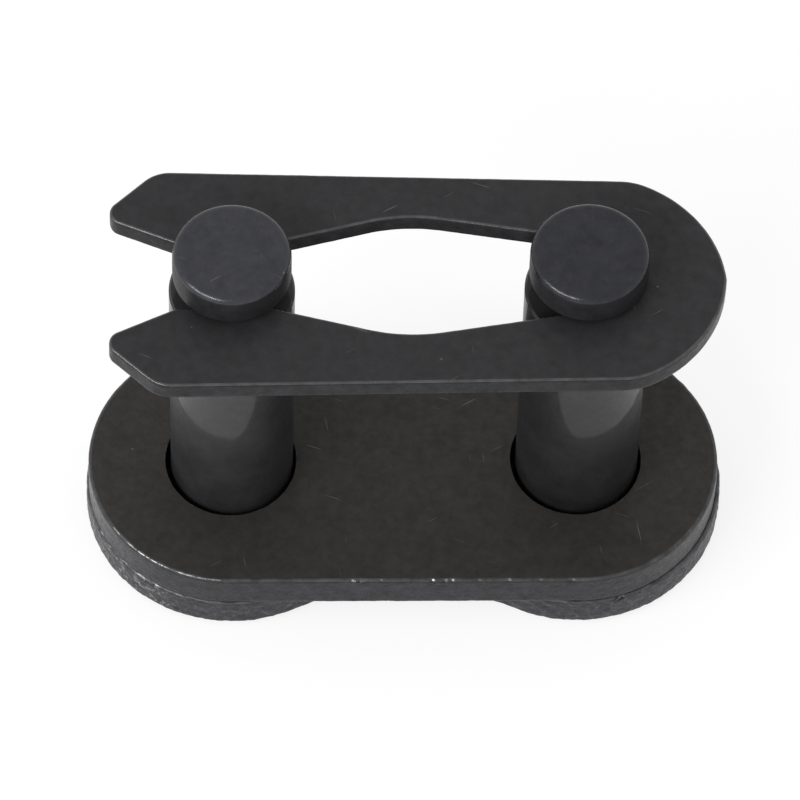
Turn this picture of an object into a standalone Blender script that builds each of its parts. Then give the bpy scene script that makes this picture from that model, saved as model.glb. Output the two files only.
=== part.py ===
"""Connecting link of a motorcycle roller chain: a waisted plate with two riveted pins,
a loose side plate threaded on the pins, and a flat spring clip in the pins' grooves.

The link lies on its riveted pin ends. +Z runs up the pins, +X runs along the pitch
towards the clip's closed end, and the origin is midway between the pins."""

import math

import bmesh
import bpy

mm = 0.001
degree = math.radians(1.0)

# Chain sizes that the whole link follows
pitch = 12.7 * mm
pin_radius = 2.255 * mm
link_room = 11.44 * mm          # between the two plates once the chain is joined

# Pin plate, waisted between its two round lobes
pin_plate_thickness = 1.32 * mm
lobe_radius = 5.38 * mm
waist_depth = 1.45 * mm

# Side plate, with straight edges; it is loose and lies off centre on the pins
side_plate_thickness = 1.52 * mm
side_plate_inset = 0.135 * mm   # its round ends are this much smaller than the lobes
side_plate_shift_x = -0.04 * mm
side_plate_shift_y = -0.11 * mm

# Pins, above and below the plates
head_radius = 2.125 * mm
head_height = 1.32 * mm
head_rounding = 0.3 * mm
groove_radius = 1.38 * mm
groove_width = 1.12 * mm
rivet_radius = 2.42 * mm
rivet_height = 0.25 * mm
rivet_rounding = 0.16 * mm

# Spring clip: outer edge
clip_thickness = 0.83 * mm
leg_half_width = 4.24 * mm      # from the outline's centre line, beside the closed-end pin
back_leg_splay = 1.43 * degree
front_leg_splay = 0.85 * degree
outline_offset = -0.18 * mm     # the outside is blanked a little off the slot's centre line
end_radius = 4.88 * mm          # each half of the closed end is an arc of this radius
end_arc_overlap = 0.42 * mm     # and its centre lies this far past the centre line
end_arc_forward = 0.065 * mm
leg_reach = 4.36 * mm           # from the open-end pin's axis to the tips
tip_flat = 0.55 * mm
tip_cut_angle = 43.0 * degree
tip_rounding = 0.28 * mm
shoulder_rounding = 1.3 * mm
end_corner_rounding = 2.5 * mm

# Spring clip: slot
neck_reach = 2.05 * mm          # from the open-end pin's axis to where the mouth narrows
neck_rounding = 0.28 * mm
lead_in_angle = 24.0 * degree
mouth_offset = -0.06 * mm       # the middle of the mouth's opening lies this far off the neck
bow_half_width = 2.46 * mm
bow_radius = 6.5 * mm
bow_place = 0.1 * mm
open_flank_angle = 14.6 * degree
lip_rounding = 0.12 * mm

# Edge rounding left by blanking and tumbling
plate_edge_rounding = 0.12 * mm
clip_edge_rounding = 0.09 * mm
pin_edge_chamfer = 0.08 * mm

# Clearances
press_clearance = 0.02 * mm     # pin in the pin plate
slip_clearance = 0.14 * mm      # pin in the side plate
neck_clearance = 0.02 * mm      # groove in the clip's mouth
seat_clearance = 0.12 * mm      # groove in the clip's seats
resting_gap = 0.05 * mm         # between faces that lie on each other
rivet_gap = 0.03 * mm

# Facets of round shapes
pin_sides = 64
outline_step = 6.0 * degree
pin_rounding_step = 22.5 * degree
rim_segments = 2

# Heights that follow from the sizes above
pin_plate_bottom = rivet_height + rivet_gap
pin_plate_top = pin_plate_bottom + pin_plate_thickness
side_plate_bottom = pin_plate_top + resting_gap
groove_floor = pin_plate_top + link_room + side_plate_thickness
clip_bottom = groove_floor + resting_gap
head_bottom = groove_floor + groove_width
head_top = head_bottom + head_height

# Places and widths in plan that follow from them
half_pitch = pitch / 2
waist_half_width = lobe_radius - waist_depth
side_plate_radius = lobe_radius - side_plate_inset
seat_radius = groove_radius + seat_clearance
neck_half_width = groove_radius + neck_clearance
neck_x = -half_pitch - neck_reach
tip_x = -half_pitch - leg_reach
mouth_half_width = neck_half_width + math.tan(lead_in_angle) * (leg_reach - neck_reach)

# Edges sharper than this are rounded and shaded as edges; points nearer than this are one
sharp_angle = 35.0 * degree
merge_distance = 0.001 * mm


def clear_scene():
    for old in list(bpy.data.objects):
        bpy.data.objects.remove(old, do_unlink=True)


def new_collection(name):
    collection = bpy.data.collections.new(name)
    bpy.context.scene.collection.children.link(collection)
    return collection


def steel(name, colour, roughness, metallic):
    """Blackened steel with the given base colour."""
    material = bpy.data.materials.new(name)
    material.use_nodes = True
    shader = material.node_tree.nodes["Principled BSDF"]
    shader.inputs["Base Color"].default_value = (*colour, 1.0)
    shader.inputs["Roughness"].default_value = roughness
    shader.inputs["Metallic"].default_value = metallic
    return material


def arc(centre_x, centre_y, radius, start, end, step=outline_step):
    """Points along an arc, both ends included."""
    steps = max(1, round(abs(end - start) / step))
    points = []
    for i in range(steps + 1):
        angle = start + (end - start) * i / steps
        points.append((centre_x + radius * math.cos(angle), centre_y + radius * math.sin(angle)))
    return points


def rounded(before, corner, after, radius):
    """Points of the arc that rounds a corner between two straight edges."""
    into = math.atan2(corner[1] - before[1], corner[0] - before[0])
    out = math.atan2(after[1] - corner[1], after[0] - corner[0])
    turn = math.remainder(out - into, math.tau)
    side = math.copysign(1.0, turn)
    back = radius * math.tan(abs(turn) / 2)
    start_x = corner[0] - back * math.cos(into)
    start_y = corner[1] - back * math.sin(into)
    centre_x = start_x - side * radius * math.sin(into)
    centre_y = start_y + side * radius * math.cos(into)
    first = into - side * math.pi / 2
    return arc(centre_x, centre_y, radius, first, first + turn)


def circle(centre_x, radius):
    """A closed round outline about a pin's axis."""
    points = []
    for i in range(pin_sides):
        angle = math.tau * i / pin_sides
        points.append((centre_x + radius * math.cos(angle), radius * math.sin(angle)))
    return points


def blank(name, outlines, bottom, thickness, edge_rounding, material, collection):
    """A flat blank: closed outlines filled, given a thickness, and rounded along both rims."""
    curve = bpy.data.curves.new(name + "_outline", "CURVE")
    curve.dimensions = "2D"
    curve.fill_mode = "BOTH"
    curve.extrude = thickness / 2
    for outline in outlines:
        spline = curve.splines.new("POLY")
        spline.points.add(len(outline) - 1)
        for point, (x, y) in zip(spline.points, outline):
            point.co = (x, y, 0.0, 1.0)
        spline.use_cyclic_u = True
    drawn = bpy.data.objects.new(name + "_outline", curve)
    drawn.location.z = bottom + thickness / 2
    collection.objects.link(drawn)
    bpy.context.view_layer.update()

    evaluated = drawn.evaluated_get(bpy.context.evaluated_depsgraph_get())
    mesh = bpy.data.meshes.new_from_object(evaluated)
    mesh.name = name
    piece = bpy.data.objects.new(name, mesh)
    piece.matrix_world = drawn.matrix_world.copy()
    collection.objects.link(piece)
    bpy.data.objects.remove(drawn, do_unlink=True)

    shape = bmesh.new()
    shape.from_mesh(mesh)
    bmesh.ops.remove_doubles(shape, verts=shape.verts, dist=merge_distance)
    bmesh.ops.dissolve_limit(shape, angle_limit=degree, verts=shape.verts, edges=shape.edges)
    bmesh.ops.recalc_face_normals(shape, faces=shape.faces)
    shape.to_mesh(mesh)
    shape.free()

    mesh.materials.clear()
    mesh.materials.append(material)
    mesh.shade_smooth()
    mesh.set_sharp_from_angle(angle=sharp_angle)
    rim = piece.modifiers.new("rounded_rims", "BEVEL")
    rim.width = edge_rounding
    rim.segments = rim_segments
    rim.limit_method = "ANGLE"
    rim.angle_limit = sharp_angle
    return piece


def make_pin_plate(material, collection):
    """Figure-of-eight plate that the pins are pressed and riveted into."""
    waist_radius = (half_pitch**2 + waist_half_width**2 - lobe_radius**2) / (
        2 * (lobe_radius - waist_half_width)
    )
    waist_centre = waist_half_width + waist_radius
    meeting = math.atan2(waist_centre, half_pitch)
    outline = []
    for side in (1, -1):
        # One lobe, from its lower meeting point round to its upper one, seen from its own side
        lobe = arc(half_pitch, 0.0, lobe_radius, meeting - math.pi, math.pi - meeting)
        waist = arc(0.0, waist_centre, waist_radius, -meeting, meeting - math.pi)
        outline += [(side * x, side * y) for x, y in lobe + waist[1:-1]]
    hole = pin_radius + press_clearance
    outlines = [outline, circle(-half_pitch, hole), circle(half_pitch, hole)]
    return blank("pin_plate", outlines, pin_plate_bottom, pin_plate_thickness,
                 plate_edge_rounding, material, collection)


def make_side_plate(material, collection):
    """Straight-sided plate with round ends that slides on the pins."""
    right = arc(half_pitch, 0.0, side_plate_radius, -math.pi / 2, math.pi / 2)
    left = arc(-half_pitch, 0.0, side_plate_radius, math.pi / 2, 3 * math.pi / 2)
    hole = pin_radius + slip_clearance
    outlines = [right + left, circle(-half_pitch, hole), circle(half_pitch, hole)]
    plate = blank("side_plate", outlines, side_plate_bottom, side_plate_thickness,
                  plate_edge_rounding, material, collection)
    plate.location.x = side_plate_shift_x
    plate.location.y = side_plate_shift_y
    return plate


def clip_outer_edge(centre, splay, inner_tip_y):
    """Outer edge of the leg on the +Y side, from the middle of the closed end to the tip."""
    # The end arc, and the arc that leads from it into the leg's straight edge
    end_x = half_pitch + end_arc_forward
    end_y = centre - end_arc_overlap
    facing = math.pi / 2 - splay
    leg_y = centre + leg_half_width
    outward = (half_pitch - end_x) * math.cos(facing) + (leg_y - end_y) * math.sin(facing)
    rise = outward - end_corner_rounding
    along = math.sqrt((end_radius - end_corner_rounding) ** 2 - rise**2)
    corner_x = end_x + rise * math.cos(facing) + along * math.sin(facing)
    corner_y = end_y + rise * math.sin(facing) - along * math.cos(facing)
    meeting = math.atan2(corner_y - end_y, corner_x - end_x)
    nose = math.asin(end_arc_overlap / end_radius)
    points = arc(end_x, end_y, end_radius, nose, meeting)
    points += arc(corner_x, corner_y, end_corner_rounding, meeting, facing)[1:]

    # The leg's end is cut back from a rounded shoulder to a blunt tip
    slope = math.tan(splay)
    cut_slope = math.tan(tip_cut_angle)
    inner_tip = (tip_x, inner_tip_y)
    outer_tip = (tip_x, inner_tip_y + tip_flat)
    shoulder_x = (leg_y - outer_tip[1] + slope * half_pitch + cut_slope * tip_x) / (slope + cut_slope)
    shoulder = (shoulder_x, outer_tip[1] + cut_slope * (shoulder_x - tip_x))
    points += rounded(points[-1], shoulder, outer_tip, shoulder_rounding)
    points += rounded(shoulder, outer_tip, inner_tip, tip_rounding)
    points += rounded(outer_tip, inner_tip, (neck_x, neck_half_width), tip_rounding)
    return points


def clip_slot_edge(inner_tip_y):
    """Edge of the slot on the +Y side, from the mouth's neck to the middle of the closed end."""
    inner_tip = (tip_x, inner_tip_y)
    neck = (neck_x, neck_half_width)
    first_lip_angle = math.pi - math.asin(neck_half_width / seat_radius)
    first_lip = (-half_pitch + seat_radius * math.cos(first_lip_angle), neck_half_width)

    # The bow, widest part of the slot, is an arc that runs into the two straight flanks
    bow_centre = bow_half_width - bow_radius
    bow_start = math.pi / 2 + open_flank_angle
    flank_x = bow_place + bow_radius * math.cos(bow_start)
    flank_y = bow_centre + bow_radius * math.sin(bow_start)

    # The open-side flank ends where it runs into the open-end pin's seat
    slope = math.tan(open_flank_angle)
    height = flank_y - slope * (flank_x + half_pitch)
    square = 1 + slope**2
    reach = (math.sqrt(seat_radius**2 * square - height**2) - height * slope) / square
    second_lip = (-half_pitch + reach, height + slope * reach)
    second_lip_angle = math.atan2(second_lip[1], reach)
    seat = arc(-half_pitch, 0.0, seat_radius, first_lip_angle, second_lip_angle)

    # The closed-side flank is tangent to the bow and to the closed-end pin's seat
    apart_x = half_pitch - bow_place
    apart_y = -bow_centre
    tangent = math.atan2(apart_y, apart_x) + math.acos(
        (bow_radius - seat_radius) / math.hypot(apart_x, apart_y)
    )
    points = rounded(inner_tip, neck, first_lip, neck_rounding)
    points += rounded(neck, first_lip, seat[1], lip_rounding)
    points += seat[1:-1]
    points += rounded(seat[-2], second_lip, (flank_x, flank_y), lip_rounding)
    points += arc(bow_place, bow_centre, bow_radius, bow_start, tangent)
    points += arc(half_pitch, 0.0, seat_radius, tangent, 0.0)
    return points


def make_clip(material, collection):
    """Flat spring clip that locks both pins; its mouth is on the open-end pin's side."""
    back_tip_y = mouth_half_width + mouth_offset
    back = clip_outer_edge(outline_offset, back_leg_splay, back_tip_y)
    back += clip_slot_edge(back_tip_y)

    # The front leg is drawn as a back one and mirrored; it shares the closed end's last point
    front_tip_y = mouth_half_width - mouth_offset
    front = clip_outer_edge(-outline_offset, front_leg_splay, front_tip_y)
    front += clip_slot_edge(front_tip_y)[:-1]
    outline = back + [(x, -y) for x, y in reversed(front)]
    return blank("spring_clip", [outline], clip_bottom, clip_thickness,
                 clip_edge_rounding, material, collection)


def pin_profile():
    """Radius and height down the pin's side, from the centre of its head to that of its rivet."""
    points = [(0.0, head_top)]
    points += arc(head_radius - head_rounding, head_top - head_rounding, head_rounding,
                  math.pi / 2, 0.0, pin_rounding_step)
    points += [
        (head_radius, head_bottom + pin_edge_chamfer),
        (head_radius - pin_edge_chamfer, head_bottom),
        (groove_radius, head_bottom),
        (groove_radius, groove_floor),
        (pin_radius - pin_edge_chamfer, groove_floor),
        (pin_radius, groove_floor - pin_edge_chamfer),
        (pin_radius, rivet_height),
        (rivet_radius, rivet_height),
    ]
    points += arc(rivet_radius - rivet_rounding, rivet_rounding, rivet_rounding,
                  0.0, -math.pi / 2, pin_rounding_step)
    points.append((0.0, 0.0))
    return points


def make_pin(name, place, material, collection):
    """Pin turned about its own axis: head, groove, body and riveted end."""
    shape = bmesh.new()
    points = [shape.verts.new((radius, 0.0, height)) for radius, height in pin_profile()]
    lines = [shape.edges.new(ends) for ends in zip(points, points[1:])]
    bmesh.ops.spin(shape, geom=points + lines, cent=(0.0, 0.0, 0.0), axis=(0.0, 0.0, 1.0),
                   angle=math.tau, steps=pin_sides)
    bmesh.ops.remove_doubles(shape, verts=shape.verts, dist=merge_distance)
    bmesh.ops.recalc_face_normals(shape, faces=shape.faces)
    mesh = bpy.data.meshes.new(name)
    shape.to_mesh(mesh)
    shape.free()

    mesh.materials.append(material)
    mesh.shade_smooth()
    mesh.set_sharp_from_angle(angle=sharp_angle)
    pin = bpy.data.objects.new(name, mesh)
    pin.location.x = place
    collection.objects.link(pin)
    return pin


clear_scene()
link = new_collection("chain_master_link")
plate_steel = steel("blackened_plate_steel", (0.045, 0.042, 0.040), 0.55, 0.6)
side_steel = steel("blackened_side_plate_steel", (0.050, 0.045, 0.042), 0.58, 0.6)
pin_steel = steel("blackened_pin_steel", (0.060, 0.062, 0.072), 0.35, 0.8)
clip_steel = steel("blackened_spring_steel", (0.052, 0.053, 0.058), 0.42, 0.75)

make_pin_plate(plate_steel, link)
make_pin("open_end_pin", -half_pitch, pin_steel, link)
make_pin("closed_end_pin", half_pitch, pin_steel, link)
make_side_plate(side_steel, link)
make_clip(clip_steel, link)
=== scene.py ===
import math

import bpy
import mathutils.noise
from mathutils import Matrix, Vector


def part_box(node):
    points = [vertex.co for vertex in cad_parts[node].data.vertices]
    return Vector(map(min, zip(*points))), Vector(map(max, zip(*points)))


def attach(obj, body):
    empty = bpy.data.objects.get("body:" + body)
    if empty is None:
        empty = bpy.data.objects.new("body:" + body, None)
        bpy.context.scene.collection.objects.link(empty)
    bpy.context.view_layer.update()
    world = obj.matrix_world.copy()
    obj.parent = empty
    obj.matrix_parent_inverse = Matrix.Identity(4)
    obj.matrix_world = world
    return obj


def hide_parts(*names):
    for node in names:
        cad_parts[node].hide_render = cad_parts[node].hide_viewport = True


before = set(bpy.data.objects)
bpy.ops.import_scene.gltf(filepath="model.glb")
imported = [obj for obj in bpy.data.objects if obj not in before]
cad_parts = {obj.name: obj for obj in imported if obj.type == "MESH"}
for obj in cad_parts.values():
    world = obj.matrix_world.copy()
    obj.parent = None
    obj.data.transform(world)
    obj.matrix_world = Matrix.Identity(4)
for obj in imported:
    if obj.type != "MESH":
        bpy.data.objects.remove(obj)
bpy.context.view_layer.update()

# Pin plate
# The plate that both pins are fixed in, waisted to a figure of eight. It is blanked from strip
# steel, tumbled and blackened: the faces are smooth and matte, and the sheared wall stays rough.

mm = 0.001
pin_low, pin_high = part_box("closed_end_pin")
plate_low, plate_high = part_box("pin_plate")
half_pitch = (pin_low.x + pin_high.x) / 2
lobe_radius = plate_high.x - half_pitch
waist_depth = 1.45 * mm
waist_half_width = lobe_radius - waist_depth
pin_plate_bottom = plate_low.z
pin_plate_thickness = plate_high.z - plate_low.z
plate_rim = 0.12 * mm
plate_border = 0.35 * mm
plate_rows = 14
rim_steps = 4
pin_plate_hole = 2.275 * mm
hole_rim = 0.05 * mm
hole_rim_steps = 3
hole_sides = 96
outline_step = 0.08 * mm
smooth_angle = math.radians(35)
pin_plate_tear = 0.06 * mm
pin_plate_tear_grain = 0.32 * mm


def arc(centre_x, centre_y, radius, start, end):
    """Points along an arc, close enough together for a smooth wall."""
    steps = max(3, math.ceil(abs(end - start) * radius / outline_step))
    points = []
    for i in range(steps + 1):
        angle = start + (end - start) * i / steps
        points.append((centre_x + radius * math.cos(angle), centre_y + radius * math.sin(angle)))
    return points


def first_vertex(place):
    """Starts a piece as one vertex at a place, and leaves edit mode on."""
    bpy.ops.object.select_all(action="DESELECT")
    bpy.ops.mesh.primitive_plane_add(size=outline_step, location=(0, 0, 0))
    bpy.ops.object.mode_set(mode="EDIT")
    bpy.ops.mesh.select_mode(type="VERT")
    bpy.ops.mesh.select_all(action="SELECT")
    bpy.ops.mesh.merge(type="CENTER")
    bpy.ops.transform.translate(value=place)


def trace(outline):
    """Draws a closed outline by extruding one vertex from point to point, and fills it."""
    first_vertex((*outline[0], 0))
    for near, far in zip(outline, outline[1:] + outline[:1]):
        steps = max(1, round(math.dist(near, far) / outline_step))
        step = ((far[0] - near[0]) / steps, (far[1] - near[1]) / steps, 0)
        for _ in range(steps):
            bpy.ops.mesh.extrude_vertices_move(TRANSFORM_OT_translate={"value": step})
    bpy.ops.mesh.select_all(action="SELECT")
    bpy.ops.mesh.remove_doubles(threshold=outline_step / 10)
    bpy.ops.mesh.edge_face_add()
    return bpy.context.object


def pick_faces(piece, wanted):
    """Selects the faces whose centre and normal pass a test, and leaves edit mode on."""
    bpy.ops.object.mode_set(mode="EDIT")
    bpy.ops.mesh.select_mode(type="FACE")
    bpy.ops.mesh.select_all(action="DESELECT")
    bpy.ops.object.mode_set(mode="OBJECT")
    for face in piece.data.polygons:
        face.select = wanted(face.center, face.normal)
    bpy.ops.object.mode_set(mode="EDIT")


def finish_faces(piece, index, wanted):
    """Gives the faces that pass a test the finish in one of the piece's slots."""
    pick_faces(piece, wanted)
    piece.active_material_index = index
    bpy.ops.object.material_slot_assign()
    bpy.ops.object.mode_set(mode="OBJECT")


def raise_blank(piece, bottom, thickness, rim, under_rim, rows):
    """Gives a filled outline its wall, row by row, and rounds both rims by narrowing the ends."""
    row_height = (thickness - rim - under_rim) / rows
    end_facing = 0.9
    bpy.ops.transform.translate(value=(0, 0, bottom + under_rim))
    for _ in range(rows):
        bpy.ops.mesh.extrude_region_move(TRANSFORM_OT_translate={"value": (0, 0, row_height)})
    bpy.ops.mesh.select_all(action="SELECT")
    bpy.ops.mesh.normals_make_consistent(inside=False)
    for facing, rounding in ((1, rim), (-1, under_rim)):
        pick_faces(piece, lambda centre, normal: facing * normal.z > end_facing)
        for i in range(rim_steps):
            low = math.pi / 2 * i / rim_steps
            high = math.pi / 2 * (i + 1) / rim_steps
            bpy.ops.mesh.inset(thickness=rounding * (math.cos(low) - math.cos(high)),
                               depth=rounding * (math.sin(high) - math.sin(low)))
    bpy.ops.object.mode_set(mode="OBJECT")


def set_border(piece, width):
    """Sets a flat band round the top face, so that a dent in the edge stays in the band."""
    top_facing = 0.99
    pick_faces(piece, lambda centre, normal: normal.z > top_facing)
    bpy.ops.mesh.inset(thickness=width, depth=0)
    bpy.ops.object.mode_set(mode="OBJECT")


def punch(piece, x, y, radius, bottom, thickness, rim):
    """Punches a round hole through a blank and breaks the hole's edges."""
    near = 0.01 * mm
    bpy.ops.object.select_all(action="DESELECT")
    bpy.ops.mesh.primitive_cylinder_add(vertices=hole_sides, radius=radius, depth=4 * thickness,
                                        location=(x, y, bottom + thickness / 2))
    tool = bpy.context.object
    cut = piece.modifiers.new("hole", "BOOLEAN")
    cut.object = tool
    cut.solver = "EXACT"
    bpy.context.view_layer.objects.active = piece
    bpy.ops.object.modifier_apply(modifier=cut.name)
    bpy.data.objects.remove(tool, do_unlink=True)
    piece.select_set(True)
    bpy.ops.object.mode_set(mode="EDIT")
    bpy.ops.mesh.select_mode(type="EDGE")
    bpy.ops.mesh.select_all(action="DESELECT")
    bpy.ops.object.mode_set(mode="OBJECT")
    places = [(Vector((v.co.x - x, v.co.y - y)).length, v.co.z) for v in piece.data.vertices]
    for edge in piece.data.edges:
        ends = [places[i] for i in edge.vertices]
        on_hole = all(abs(reach - radius) < near for reach, height in ends)
        edge.select = on_hole and abs(ends[0][1] - ends[1][1]) < near
    bpy.ops.object.mode_set(mode="EDIT")
    bpy.ops.mesh.bevel(offset=rim, segments=hole_rim_steps, clamp_overlap=False)
    bpy.ops.object.mode_set(mode="OBJECT")


def roughen_wall(piece, height, grain):
    """Tears the sheared wall a little, as the punch leaves it: coarsely, and then finely."""
    wall_facing = 0.8
    fine_share = 0.45
    group = piece.vertex_groups.new(name="wall")
    in_wall = set()
    for face in piece.data.polygons:
        if abs(face.normal.z) < wall_facing:
            in_wall.update(face.vertices)
    group.add(sorted(in_wall), 1.0, "REPLACE")
    bpy.context.view_layer.objects.active = piece
    for share, size in ((1.0, grain), (fine_share, grain / 3)):
        tear = bpy.data.textures.new(piece.name + "_tear", "CLOUDS")
        tear.noise_scale = size
        tear.noise_depth = 3
        torn = piece.modifiers.new("torn", "DISPLACE")
        torn.texture = tear
        torn.texture_coords = "LOCAL"
        torn.direction = "NORMAL"
        torn.strength = height * share
        torn.mid_level = 0.5
        torn.vertex_group = group.name
        bpy.ops.object.modifier_apply(modifier=torn.name)
    piece.vertex_groups.clear()


def new_material(name):
    """A new material, with its node tree and its main shader."""
    material = bpy.data.materials.new(name)
    material.use_nodes = True
    tree = material.node_tree
    return material, tree, tree.nodes["Principled BSDF"]


def plug(tree, socket, value):
    """Links a socket to another node's output, or sets it to a plain value."""
    if isinstance(value, bpy.types.NodeSocket):
        tree.links.new(value, socket)
    else:
        socket.default_value = value


def add_node(tree, kind, **inputs):
    """A shader node with the given inputs linked or set."""
    node = tree.nodes.new(kind)
    for name, value in inputs.items():
        plug(tree, node.inputs[name.replace("_", " ")], value)
    return node


def combine(tree, operation, first, second):
    """The sum or the product of two values, each a number or another node's output."""
    node = tree.nodes.new("ShaderNodeMath")
    node.operation = operation
    plug(tree, node.inputs[0], first)
    plug(tree, node.inputs[1], second)
    return node.outputs["Value"]


def ramp(tree, factor, low, high, dark, light):
    """Maps a noise value between two colours or two grey levels."""
    node = tree.nodes.new("ShaderNodeValToRGB")
    node.color_ramp.elements[0].position = low
    node.color_ramp.elements[1].position = high
    node.color_ramp.elements[0].color = (*dark, 1)
    node.color_ramp.elements[1].color = (*light, 1)
    tree.links.new(factor, node.inputs["Fac"])
    return node.outputs["Color"]


off, on = (0, 0, 0), (1, 1, 1)


def noise(tree, place, scale, detail, rough):
    """A noise value at a scale given in features per millimetre."""
    return add_node(tree, "ShaderNodeTexNoise", Vector=place, Scale=scale / mm, Detail=detail,
                    Roughness=rough).outputs["Fac"]


def hairlines(tree, place, heading):
    """Sparse fine scratches that all run one way: 1 on a scratch and 0 off it."""
    along, across = 0.5 / mm, 11 / mm
    scratch_range = (0.755, 0.80)
    turned = add_node(tree, "ShaderNodeMapping", Vector=place, Rotation=(0, 0, heading))
    drawn_out = add_node(tree, "ShaderNodeMapping", Vector=turned.outputs["Vector"],
                         Scale=(along, across, along))
    streaks = add_node(tree, "ShaderNodeTexNoise", Vector=drawn_out.outputs["Vector"], Scale=1.0)
    return ramp(tree, streaks.outputs["Fac"], *scratch_range, off, on)


def specks(tree, place, density, size):
    """Scattered round specks: 1 on a speck and 0 off it."""
    solid_share = 0.6
    kept_range = (0.86, 0.88)
    cells = add_node(tree, "ShaderNodeTexVoronoi", Vector=place, Scale=density / mm)
    near = ramp(tree, cells.outputs["Distance"], size * solid_share, size, on, off)
    chance = add_node(tree, "ShaderNodeSeparateColor", Color=cells.outputs["Color"]).outputs["Red"]
    kept = ramp(tree, chance, *kept_range, off, on)
    return combine(tree, "MULTIPLY", near, kept)


def laid_over(tree, under, mark, colour):
    """A colour laid over another where a mark is 1."""
    factor_input, under_input, over_input, mixed_output = 0, 6, 7, 2
    mix = tree.nodes.new("ShaderNodeMix")
    mix.data_type = "RGBA"
    plug(tree, mix.inputs[factor_input], mark)
    plug(tree, mix.inputs[under_input], under)
    plug(tree, mix.inputs[over_input], (*colour, 1))
    return mix.outputs[mixed_output]


def blackened(name, dark, light, gloss, dull, blotch, grain, relief, level, marks=None, flecks=None,
              oiled=0.0):
    """Black oxide on steel: blotchy colour, uneven sheen, grain in relief, and its wear if any.

    Blotch and grain are in features per millimetre, and level is how strongly the oxide reflects.
    """
    detail = 5
    blotch_range, fleck_range, middle_range = (0.36, 0.66), (0.52, 0.70), (0.3, 0.7)
    fleck_scale, sheen_scale = 4.5, 2.8
    speck_density, speck_size = 0.9, 0.05
    scratch_headings = (0.35, 1.4, 2.6)
    weak, strong = 0.75 * level, 1.25 * level
    material, tree, shader = new_material(name)
    place = add_node(tree, "ShaderNodeTexCoord").outputs["Object"]
    grains = noise(tree, place, grain, detail, rough=0.65)
    blotches = noise(tree, place, blotch, detail, rough=0.65)
    colour = ramp(tree, blotches, *blotch_range, dark, light)
    if flecks:
        torn = noise(tree, place, fleck_scale, detail, rough=0.75)
        colour = laid_over(tree, colour, ramp(tree, torn, *fleck_range, off, on), flecks)
    if marks:
        colour = laid_over(tree, colour, specks(tree, place, speck_density, speck_size), marks)
        for heading in scratch_headings:
            colour = laid_over(tree, colour, hairlines(tree, place, heading), marks)
    roughness = ramp(tree, grains, *middle_range, (gloss,) * 3, (dull,) * 3)
    sheen = noise(tree, place, sheen_scale, detail, rough=0.7)
    reflection = ramp(tree, sheen, *middle_range, (weak,) * 3, (strong,) * 3)
    bump = add_node(tree, "ShaderNodeBump", Height=grains, Strength=1.0, Distance=relief)
    for socket, value in (
        ("Base Color", colour),
        ("Roughness", roughness),
        ("Specular IOR Level", reflection),
        ("Normal", bump.outputs["Normal"]),
        ("IOR", 1.5),
        ("Coat Weight", oiled),
        ("Coat Roughness", 0.06),
    ):
        plug(tree, shader.inputs[socket], value)
    return material


def bare_steel():
    """Bare steel for nicks and the torn wall, and on one edge as a painted highlight, with oxide left
    on it in patches.
    """
    oxide, steel = (0.03, 0.03, 0.033), (0.27, 0.268, 0.27)
    patch_scale, patch_detail = 5, 4
    patch_range = (0.38, 0.62)
    material, tree, shader = new_material("bare_steel")
    place = add_node(tree, "ShaderNodeTexCoord").outputs["Object"]
    patches = noise(tree, place, patch_scale, patch_detail, rough=0.7)
    plug(tree, shader.inputs["Base Color"], ramp(tree, patches, *patch_range, oxide, steel))
    plug(tree, shader.inputs["Metallic"], 1.0)
    plug(tree, shader.inputs["Roughness"], 0.38)
    return material


def bare_steel_faces(piece, wanted):
    """Gives the faces that pass a test the bare steel finish, which is in the last slot."""
    finish_faces(piece, len(piece.data.materials) - 1, wanted)


def nick(piece, x, y, z, reach):
    """Knocks a small dent in a front top edge and bares the steel in it."""
    place = Vector((x, y, z))
    depth = reach / 3
    bpy.ops.object.mode_set(mode="EDIT")
    bpy.ops.mesh.select_mode(type="VERT")
    bpy.ops.mesh.select_all(action="DESELECT")
    bpy.ops.object.mode_set(mode="OBJECT")
    for vertex in piece.data.vertices:
        vertex.select = (vertex.co - place).length < reach
    bpy.ops.object.mode_set(mode="EDIT")
    bpy.ops.transform.translate(value=(0, depth, -depth))
    bpy.ops.object.mode_set(mode="OBJECT")
    bare_steel_faces(piece, lambda centre, normal: (centre - place).length < reach)


def dress(piece, face_finish, rim_finish, wall_finish):
    """Gives the flat faces, the rounded rims and the wall a finish each, and a slot for bare steel:
    wear, and on one edge a painted highlight.
    """
    rim_facing, wall_facing = 0.985, 0.45
    piece.data.materials.clear()
    for finish in (face_finish, rim_finish, wall_finish, bare_steel()):
        piece.data.materials.append(finish)
    finish_faces(piece, 1, lambda centre, normal: abs(normal.z) < rim_facing)
    finish_faces(piece, 2, lambda centre, normal: abs(normal.z) < wall_facing)


def smooth(piece):
    """Shades the roundings smooth and keeps the large flat faces flat up to them."""
    bpy.ops.object.shade_smooth_by_angle(angle=smooth_angle)
    flat = piece.modifiers.new("flat", "WEIGHTED_NORMAL")
    flat.weight = 100
    flat.keep_sharp = True
    bpy.ops.object.modifier_apply(modifier=flat.name)


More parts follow.
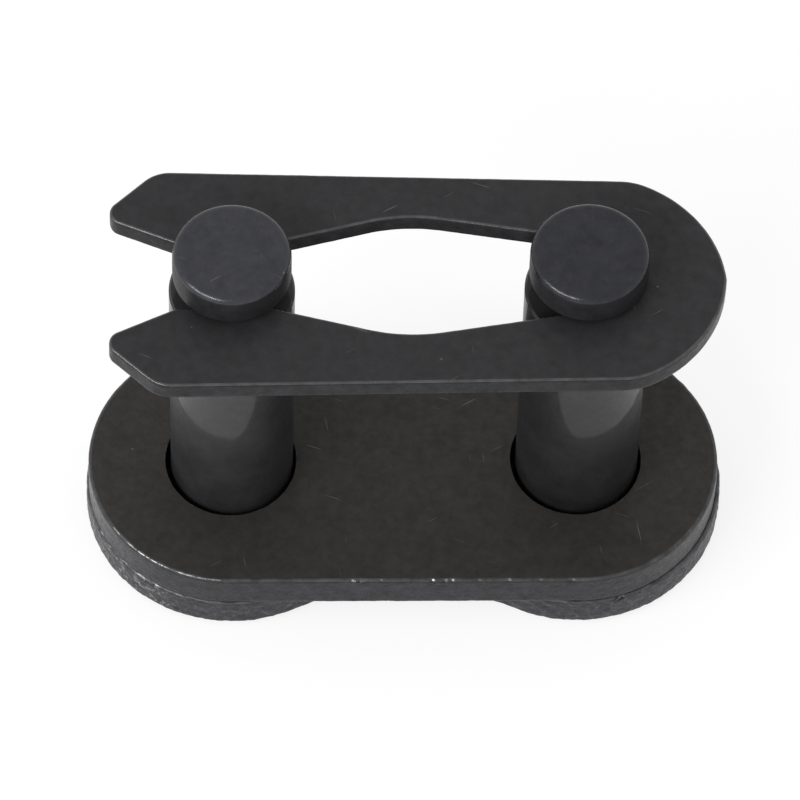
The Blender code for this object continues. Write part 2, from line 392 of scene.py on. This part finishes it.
waist_radius = (half_pitch**2 + waist_half_width**2 - lobe_radius**2) / (
    2 * (lobe_radius - waist_half_width))
waist_centre = waist_half_width + waist_radius
meeting = math.atan2(waist_centre, half_pitch)
right_half = arc(half_pitch, 0, lobe_radius, meeting - math.pi, math.pi - meeting)
right_half += arc(0, waist_centre, waist_radius, -meeting, meeting - math.pi)[1:-1]
pin_plate = trace(right_half + [(-x, -y) for x, y in right_half])
pin_plate.name = "waisted_plate"
raise_blank(pin_plate, pin_plate_bottom, pin_plate_thickness, plate_rim, plate_rim, plate_rows)
set_border(pin_plate, plate_border)
for x in (-half_pitch, half_pitch):
    punch(pin_plate, x, 0, pin_plate_hole, pin_plate_bottom, pin_plate_thickness, hole_rim)
roughen_wall(pin_plate, pin_plate_tear, pin_plate_tear_grain)
plate_face = dict(dark=(0.0195, 0.0182, 0.0165), light=(0.0255, 0.0239, 0.0213),
                  gloss=0.40, dull=0.55, blotch=1.4, grain=10, relief=0.003 * mm, level=0.2,
                  marks=(0.08, 0.078, 0.074))
dress(
    pin_plate,
    blackened("pin_plate_face", **plate_face),
    # Painted highlight: the rim finish runs to a lighter colour than the face, for the bright lines
    # along the edges.
    blackened("pin_plate_rim", dark=(0.016, 0.016, 0.018), light=(0.060, 0.060, 0.066),
              gloss=0.26, dull=0.40, blotch=2.0, grain=6, relief=0.010 * mm, level=0.5),
    blackened("pin_plate_wall", dark=(0.009, 0.009, 0.011), light=(0.024, 0.024, 0.029),
              gloss=0.20, dull=0.44, blotch=2.4, grain=5, relief=0.05 * mm, level=0.26,
              flecks=(0.065, 0.065, 0.073)),
)


def from_end(centre, middle_x, middle_y):
    """How far a face is from the middle of a round end, and its bearing there in degrees."""
    out_x = centre.x - middle_x
    out_y = centre.y - middle_y
    return math.hypot(out_x, out_y), math.degrees(math.atan2(out_y, out_x)) % 360


def on_torn_wall(centre, normal):
    """Scattered places on the left end's wall and rims, which get the bare steel finish."""
    flattest, torn_from, torn_to, least = 0.9, 196, 246, 0.27
    coarse, fine, fine_share = 4 / mm, 9 / mm, 0.6
    reach, bearing = from_end(centre, -half_pitch, 0)
    at_wall = reach > lobe_radius - plate_rim and abs(normal.z) < flattest
    torn = mathutils.noise.noise(centre * coarse) + fine_share * mathutils.noise.noise(centre * fine)
    return at_wall and torn_from < bearing < torn_to and torn > least


bare_steel_faces(pin_plate, on_torn_wall)
chip_x = 7.9 * mm
chip_y = -math.sqrt(lobe_radius**2 - (chip_x - half_pitch) ** 2)
chip_reach = 0.17 * mm
nick(pin_plate, chip_x, chip_y, plate_high.z, chip_reach)
smooth(pin_plate)
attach(pin_plate, "pin_link")
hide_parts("pin_plate")

# Pins
# Two case-hardened pins turned from bar: a head, a groove that the clip snaps into, the body that
# the bushings turn on, and an end riveted over the pin plate. Polished, blackened and lightly oiled.

pin_radius = 2.255 * mm
pin_sides = 128
rivet_radius = pin_high.x - half_pitch
rivet_height = 0.25 * mm
rivet_rounding = 0.16 * mm
head_top = pin_high.z
head_height = 1.32 * mm
groove_height = 1.12 * mm
groove_top = head_top - head_height
groove_floor = groove_top - groove_height
groove_radius = 1.38 * mm
head_radius = 2.125 * mm
head_rounding = 0.3 * mm
head_crown = 0.012 * mm
pin_chamfer = 0.08 * mm
head_chamfer = 0.05 * mm
crown_shares = (0, 0.3, 0.55, 0.75, 0.9)
# Painted shade: the closed side pin's finishes are darker copies of the open pin's, with weaker
# reflection.
closed_pin_painted_shade = 0.75

pin_profile = [(share * (head_radius - head_rounding), head_top - head_crown * share**2)
               for share in crown_shares]
pin_profile += [(x, z - head_crown) for x, z in
                arc(head_radius - head_rounding, head_top - head_rounding, head_rounding,
                    math.pi / 2, 0)]
pin_profile += [
    (head_radius, groove_top + head_chamfer),
    (head_radius - head_chamfer, groove_top),
    (groove_radius, groove_top),
    (groove_radius, groove_floor),
    (pin_radius - pin_chamfer, groove_floor),
    (pin_radius, groove_floor - pin_chamfer),
    (pin_radius, rivet_height),
    (rivet_radius, rivet_height),
]
pin_profile += arc(rivet_radius - rivet_rounding, rivet_rounding, rivet_rounding, 0, -math.pi / 2)
pin_profile += [(0, 0)]


def turn(profile):
    """Draws a profile of radius and height, and turns it about the upright axis."""
    seam = 0.001 * mm
    first_vertex((profile[0][0], 0, profile[0][1]))
    for near, far in zip(profile, profile[1:]):
        step = (far[0] - near[0], 0, far[1] - near[1])
        bpy.ops.mesh.extrude_vertices_move(TRANSFORM_OT_translate={"value": step})
    bpy.ops.mesh.select_all(action="SELECT")
    bpy.ops.mesh.spin(steps=pin_sides, angle=math.tau, center=(0, 0, 0), axis=(0, 0, 1))
    bpy.ops.mesh.select_all(action="SELECT")
    bpy.ops.mesh.remove_doubles(threshold=seam)
    bpy.ops.mesh.normals_make_consistent(inside=False)
    bpy.ops.object.mode_set(mode="OBJECT")
    bpy.ops.object.shade_smooth_by_angle(angle=smooth_angle)
    return bpy.context.object


def tinted(shade, red, green, blue):
    """A colour made deeper or lighter by a share, used for painted shade."""
    return (shade * red, shade * green, shade * blue)


def dress_pin(pin, shade):
    """Finishes for the oiled body, and for the head's satin top and dull side. The shade share
    darkens the body and the head top, in colour and reflection, as painted shade.
    """
    side_facing = 0.25
    pin.data.materials.clear()
    for finish in (
        blackened("pin_body", dark=tinted(shade, 0.014, 0.014, 0.015),
                  light=tinted(shade, 0.022, 0.022, 0.0235), gloss=0.34, dull=0.46, blotch=0.8,
                  grain=8, relief=0.006 * mm, level=0.25 * shade, oiled=0.3),
        blackened("pin_head", dark=tinted(shade, 0.0125, 0.013, 0.017),
                  light=tinted(shade, 0.0175, 0.018, 0.023), gloss=0.18, dull=0.30, blotch=1.6,
                  grain=9, relief=0.005 * mm, level=0.45 * shade, marks=(0.09, 0.09, 0.098)),
        blackened("pin_head_side", dark=(0.013, 0.013, 0.014), light=(0.020, 0.020, 0.0215),
                  gloss=0.40, dull=0.52, blotch=1.5, grain=8, relief=0.006 * mm, level=0.12),
    ):
        pin.data.materials.append(finish)
    finish_faces(pin, 1, lambda centre, normal: centre.z > groove_top)
    finish_faces(pin, 2, lambda centre, normal: centre.z > groove_top and normal.z < side_facing)


open_pin = turn(pin_profile)
open_pin.name = "open_side_pin"
bpy.ops.object.duplicate()
closed_pin = bpy.context.object
closed_pin.name = "closed_side_pin"
# The closed side pin takes its finishes at the painted shade share.
for pin, x, node, shade in ((open_pin, -half_pitch, "open_end_pin", 1.0),
                            (closed_pin, half_pitch, "closed_end_pin", closed_pin_painted_shade)):
    bpy.ops.object.select_all(action="DESELECT")
    pin.select_set(True)
    bpy.context.view_layer.objects.active = pin
    dress_pin(pin, shade)
    bpy.ops.transform.translate(value=(x, 0, 0))
    bpy.ops.object.transform_apply(location=True, rotation=True, scale=True)
    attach(pin, "pin_link")
    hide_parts(node)

# Side plate
# The loose plate, threaded on the pins and lying on the pin plate, a little off centre. It is
# blanked from strip with straight sides and round ends, drilled to slip on, and blackened.

side_low, side_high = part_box("side_plate")
side_plate_x = (side_low.x + side_high.x) / 2
side_plate_y = (side_low.y + side_high.y) / 2
side_plate_radius = (side_high.y - side_low.y) / 2
side_plate_bottom = side_low.z
side_plate_thickness = side_high.z - side_low.z
slip_clearance = 0.14 * mm
side_plate_hole = pin_radius + slip_clearance
side_plate_tear = 0.025 * mm
side_plate_tear_grain = 0.45 * mm
# Each nick in the front edge has its place along the edge and its reach, in millimetres.
edge_nicks = (
    (-1.98, 0.09), (-1.69, 0.11), (-0.96, 0.08), (0.94, 0.10), (1.41, 0.12),
    (1.67, 0.09), (2.62, 0.08), (3.72, 0.09), (4.89, 0.08), (6.06, 0.09),
)

side_outline = arc(half_pitch, 0, side_plate_radius, -math.pi / 2, math.pi / 2)
side_outline += arc(-half_pitch, 0, side_plate_radius, math.pi / 2, 3 * math.pi / 2)
side_plate = trace([(x + side_plate_x, y + side_plate_y) for x, y in side_outline])
side_plate.name = "loose_plate"
raise_blank(side_plate, side_plate_bottom, side_plate_thickness, plate_rim, plate_rim, plate_rows)
set_border(side_plate, plate_border)
for x in (-half_pitch, half_pitch):
    punch(side_plate, x + side_plate_x, side_plate_y, side_plate_hole, side_plate_bottom,
          side_plate_thickness, hole_rim)
roughen_wall(side_plate, side_plate_tear, side_plate_tear_grain)
dress(
    side_plate,
    blackened("side_plate_face", **plate_face),
    # Painted highlight: the rim finish runs to a lighter colour than the face, for the bright lines
    # along the edges.
    blackened("side_plate_rim", dark=(0.016, 0.016, 0.017), light=(0.048, 0.048, 0.050),
              gloss=0.24, dull=0.36, blotch=1.6, grain=6, relief=0.006 * mm, level=0.4),
    blackened("side_plate_wall", dark=(0.009, 0.009, 0.0105), light=(0.020, 0.020, 0.0235),
              gloss=0.20, dull=0.40, blotch=1.8, grain=7, relief=0.018 * mm, level=0.2),
)


def on_painted_highlight_edge(centre, normal):
    """The third of the top rim's four facets, round the front of the left end: bare steel as a
    painted highlight where the soft box reflects.
    """
    steepest, flattest, highlight_from, highlight_to = 0.8, 0.97, 214, 266
    reach, bearing = from_end(centre, side_plate_x - half_pitch, side_plate_y)
    at_rim = reach > side_plate_radius - plate_rim and steepest < normal.z < flattest
    return at_rim and highlight_from < bearing < highlight_to


# Painted highlight: bare steel along the side plate's front left edge, where the soft box's
# reflection falls.
bare_steel_faces(side_plate, on_painted_highlight_edge)
for x, reach in edge_nicks:
    nick(side_plate, x * mm, side_low.y, side_high.z, reach * mm)
smooth(side_plate)
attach(side_plate, "side_plate")
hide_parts("side_plate")

# Spring clip
# A flat fish-shaped clip of hardened spring steel, blanked, tumbled and blackened. Its mouth
# springs over the grooves of both pins and its two seats then lock under their heads.

degree = math.radians(1)
clip_low, clip_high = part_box("spring_clip")
clip_bottom = clip_low.z
clip_thickness = clip_high.z - clip_low.z
clip_rim = 0.09 * mm
clip_under_rim = 0.11 * mm
clip_rows = 8
clip_tear = 0.014 * mm
clip_tear_grain = 0.35 * mm
leg_half_width = 4.24 * mm
back_leg_splay = 1.43 * degree
front_leg_splay = 0.85 * degree
outline_offset = -0.18 * mm
end_radius = 4.88 * mm
end_arc_overlap = 0.42 * mm
end_arc_forward = 0.065 * mm
leg_reach = 4.36 * mm
tip_flat = 0.55 * mm
tip_cut_angle = 43.0 * degree
tip_rounding = 0.5 * mm
shoulder_rounding = 1.3 * mm
end_corner_rounding = 2.5 * mm
seat_radius = 1.5 * mm
neck_half_width = 1.4 * mm
neck_reach = 2.05 * mm
neck_rounding = 0.28 * mm
lead_in_angle = 24.0 * degree
mouth_offset = -0.06 * mm
bow_half_width = 2.46 * mm
bow_radius = 6.5 * mm
bow_place = 0.1 * mm
open_flank_angle = 14.6 * degree
lip_rounding = 0.12 * mm

neck = (-half_pitch - neck_reach, neck_half_width)
tip_x = -half_pitch - leg_reach
mouth_half_width = neck_half_width + math.tan(lead_in_angle) * (leg_reach - neck_reach)


def rounded(before, corner, after, radius):
    """Points of the arc that rounds a corner between two straight edges."""
    into = math.atan2(corner[1] - before[1], corner[0] - before[0])
    out = math.atan2(after[1] - corner[1], after[0] - corner[0])
    bend = math.remainder(out - into, math.tau)
    side = math.copysign(1.0, bend)
    back = radius * math.tan(abs(bend) / 2)
    start_x = corner[0] - back * math.cos(into)
    start_y = corner[1] - back * math.sin(into)
    first = into - side * math.pi / 2
    return arc(start_x - side * radius * math.sin(into), start_y + side * radius * math.cos(into),
               radius, first, first + bend)


def leg_outline(centre, splay, inner_tip_y):
    """One leg, from the middle of the closed end round its tip and back along the slot."""
    end_x = half_pitch + end_arc_forward
    end_y = centre - end_arc_overlap
    facing = math.pi / 2 - splay
    leg_y = centre + leg_half_width
    outward = (half_pitch - end_x) * math.cos(facing) + (leg_y - end_y) * math.sin(facing)
    rise = outward - end_corner_rounding
    along = math.sqrt((end_radius - end_corner_rounding) ** 2 - rise**2)
    corner_x = end_x + rise * math.cos(facing) + along * math.sin(facing)
    corner_y = end_y + rise * math.sin(facing) - along * math.cos(facing)
    meeting_angle = math.atan2(corner_y - end_y, corner_x - end_x)
    nose = math.asin(end_arc_overlap / end_radius)
    points = arc(end_x, end_y, end_radius, nose, meeting_angle)
    points += arc(corner_x, corner_y, end_corner_rounding, meeting_angle, facing)[1:]

    slope = math.tan(splay)
    cut_slope = math.tan(tip_cut_angle)
    inner_tip = (tip_x, inner_tip_y)
    outer_tip = (tip_x, inner_tip_y + tip_flat)
    shoulder_x = (leg_y - outer_tip[1] + slope * half_pitch + cut_slope * tip_x) / (slope + cut_slope)
    shoulder = (shoulder_x, outer_tip[1] + cut_slope * (shoulder_x - tip_x))
    points += rounded(points[-1], shoulder, outer_tip, shoulder_rounding)
    points += rounded(shoulder, outer_tip, inner_tip, tip_rounding)
    points += rounded(outer_tip, inner_tip, neck, tip_rounding)

    lip_angle = math.pi - math.asin(neck_half_width / seat_radius)
    first_lip = (-half_pitch + seat_radius * math.cos(lip_angle), neck_half_width)
    bow_centre = bow_half_width - bow_radius
    bow_start = math.pi / 2 + open_flank_angle
    flank_x = bow_place + bow_radius * math.cos(bow_start)
    flank_y = bow_centre + bow_radius * math.sin(bow_start)
    slope = math.tan(open_flank_angle)
    height = flank_y - slope * (flank_x + half_pitch)
    square = 1 + slope**2
    reach = (math.sqrt(seat_radius**2 * square - height**2) - height * slope) / square
    second_lip = (-half_pitch + reach, height + slope * reach)
    seat = arc(-half_pitch, 0, seat_radius, lip_angle, math.atan2(second_lip[1], reach))
    apart_x = half_pitch - bow_place
    tangent = math.atan2(-bow_centre, apart_x) + math.acos(
        (bow_radius - seat_radius) / math.hypot(apart_x, bow_centre))
    points += rounded(inner_tip, neck, first_lip, neck_rounding)
    points += rounded(neck, first_lip, seat[1], lip_rounding)
    points += seat[1:-1]
    points += rounded(seat[-2], second_lip, (flank_x, flank_y), lip_rounding)
    points += arc(bow_place, bow_centre, bow_radius, bow_start, tangent)
    points += arc(half_pitch, 0, seat_radius, tangent, 0)
    return points


back_leg = leg_outline(outline_offset, back_leg_splay, mouth_half_width + mouth_offset)
front_leg = leg_outline(-outline_offset, front_leg_splay, mouth_half_width - mouth_offset)
clip = trace(back_leg + [(x, -y) for x, y in reversed(front_leg[:-1])])
clip.name = "fish_clip"
raise_blank(clip, clip_bottom, clip_thickness, clip_rim, clip_under_rim, clip_rows)
roughen_wall(clip, clip_tear, clip_tear_grain)
dress(
    clip,
    blackened("clip_face", dark=(0.016, 0.0158, 0.0169), light=(0.021, 0.0205, 0.0222),
              gloss=0.34, dull=0.48, blotch=1.8, grain=9, relief=0.0015 * mm, level=0.22,
              marks=(0.07, 0.07, 0.072)),
    # Painted highlight: the rim finish runs to a lighter colour than the face, for the bright lines
    # along the edges.
    blackened("clip_rim", dark=(0.014, 0.014, 0.015), light=(0.034, 0.034, 0.036),
              gloss=0.20, dull=0.30, blotch=1.5, grain=6, relief=0.005 * mm, level=0.7),
    blackened("clip_wall", dark=(0.008, 0.008, 0.009), light=(0.017, 0.017, 0.019),
              gloss=0.24, dull=0.42, blotch=1.8, grain=7, relief=0.012 * mm, level=0.12),
)
smooth(clip)
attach(clip, "clip")
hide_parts("spring_clip")

# Studio
# A white floor that partly glows, so that it stays white but keeps the link's shadow, an even white
# surround that is a little greyer overhead, one soft box at the front left, and the camera.

floor_size = 3
floor_drop = 0.02 * mm
floor_colour = (0.92, 0.92, 0.92, 1)
glow_seen = 0.78
glow_mirrored = 0.3
sky_range = (0.25, 0.8)
sky_level, sky_overhead = (1.0, 1.0, 1.0), (0.86, 0.86, 0.87)
camera_place = (-0.00677286, -0.15831576, 0.25962534)
camera_turn = (32.09023 * degree, -0.99476 * degree, -0.78310 * degree)
camera_lens = 368.04

bpy.ops.object.select_all(action="DESELECT")
bpy.ops.mesh.primitive_plane_add(size=floor_size, location=(0, 0, -floor_drop))
floor = bpy.context.object
floor.name = "floor"
floor_white, tree, shader = new_material("floor_white")
plug(tree, shader.inputs["Base Color"], floor_colour)
plug(tree, shader.inputs["Roughness"], 1.0)
plug(tree, shader.inputs["Specular IOR Level"], 0.0)
glow = add_node(tree, "ShaderNodeEmission", Color=(1, 1, 1, 1), Strength=1.0)
rays = add_node(tree, "ShaderNodeLightPath")
seen = combine(tree, "MULTIPLY", rays.outputs["Is Camera Ray"], glow_seen)
mirrored = combine(tree, "MULTIPLY", rays.outputs["Is Glossy Ray"], glow_mirrored)
blend = tree.nodes.new("ShaderNodeMixShader")
plug(tree, blend.inputs["Fac"], combine(tree, "ADD", seen, mirrored))
plug(tree, blend.inputs[1], shader.outputs["BSDF"])
plug(tree, blend.inputs[2], glow.outputs["Emission"])
plug(tree, tree.nodes["Material Output"].inputs["Surface"], blend.outputs["Shader"])
floor.data.materials.append(floor_white)

world = bpy.data.worlds.new("studio")
bpy.context.scene.world = world
world.use_nodes = True
tree = world.node_tree
direction = add_node(tree, "ShaderNodeTexCoord").outputs["Generated"]
upward = add_node(tree, "ShaderNodeSeparateXYZ", Vector=direction).outputs["Z"]
background = tree.nodes["Background"]
plug(tree, background.inputs["Color"], ramp(tree, upward, *sky_range, sky_level, sky_overhead))
plug(tree, background.inputs["Strength"], 1.0)


def lamp(name, place, aim, width, height, watts):
    """A soft box at a place, turned to face a point."""
    bpy.ops.object.light_add(type="AREA", location=place)
    box = bpy.context.object
    box.name = name
    box.rotation_euler = (Vector(place) - Vector(aim)).to_track_quat("Z", "Y").to_euler()
    box.data.shape = "RECTANGLE"
    box.data.size = width
    box.data.size_y = height
    box.data.energy = watts


lamp("front_left_box", place=(-0.213, -0.192, 0.211), aim=(0, 0, 0.01), width=0.30, height=0.06,
     watts=0.9)

scene = bpy.context.scene
bpy.ops.object.camera_add(location=camera_place, rotation=camera_turn)
camera = bpy.context.object
camera.name = "camera"
camera.data.sensor_width = 36
camera.data.lens = camera_lens
camera.data.clip_start = 0.01
camera.data.clip_end = 10
scene.camera = camera
scene.view_settings.view_transform = "Standard"
